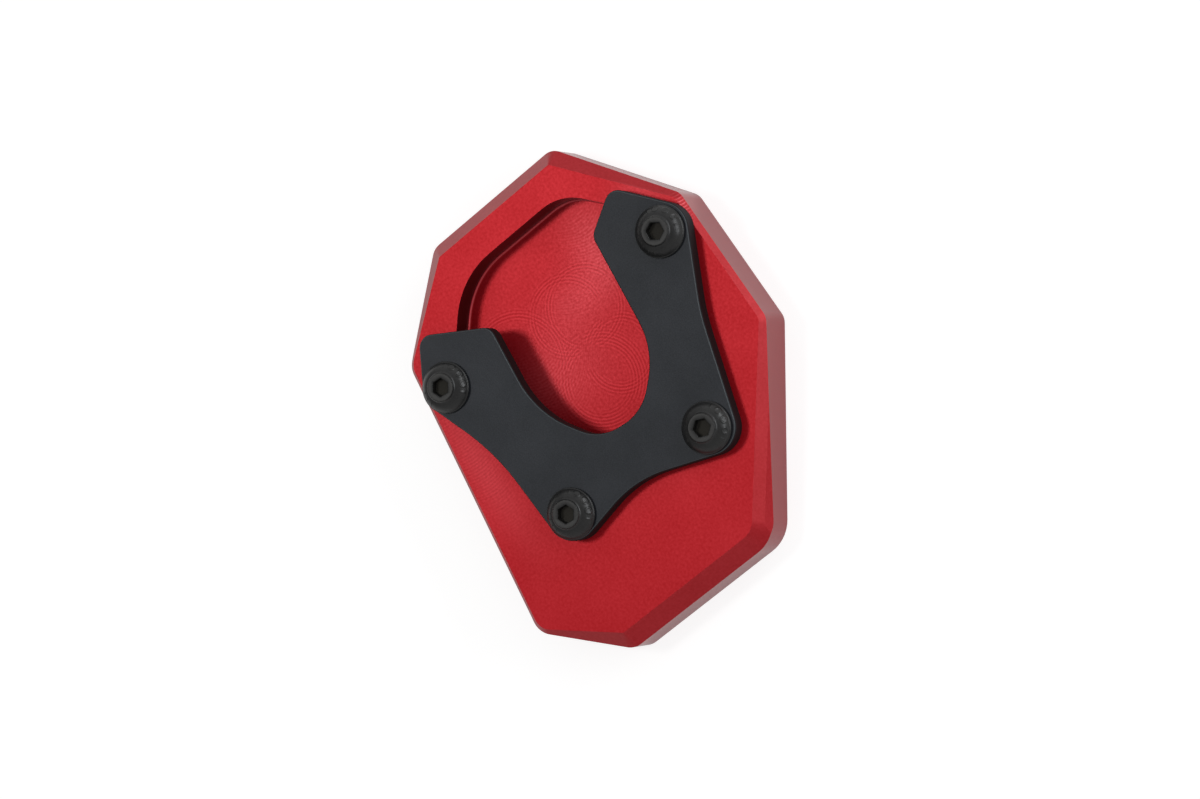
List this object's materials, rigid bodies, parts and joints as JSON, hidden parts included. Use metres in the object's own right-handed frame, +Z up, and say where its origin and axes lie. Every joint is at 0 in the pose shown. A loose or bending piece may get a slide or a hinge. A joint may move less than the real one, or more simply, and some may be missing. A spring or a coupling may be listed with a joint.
{
  "type": "kickstand foot enlarger",
  "caption": "Eight-sided bevelled ground plate with a pocket for a side stand's foot, closed by a screwed-down U-shaped clamp plate, to widen the foot on soft ground.",
  "frame": {"origin": "on the ground face, under the middle of the ground plate's bounding box", "axes": "+Z up from the ground face; +X from the open back of the U clamp towards the front of the plate; +Y towards the plate's straight right side"},
  "size_m": [0.0822, 0.0692, 0.0158],
  "materials": {
    "red_anodised": "fine-blasted red anodised",
    "black_anodised": "matt black anodised",
    "black_steel": "black oxide, lightly oiled"
  },
  "bodies": {
    "root": {"base_plate": "red_anodised", "clamp_plate": "black_anodised", "clamp_screws": "black_steel"}
  },
  "joints": []
}
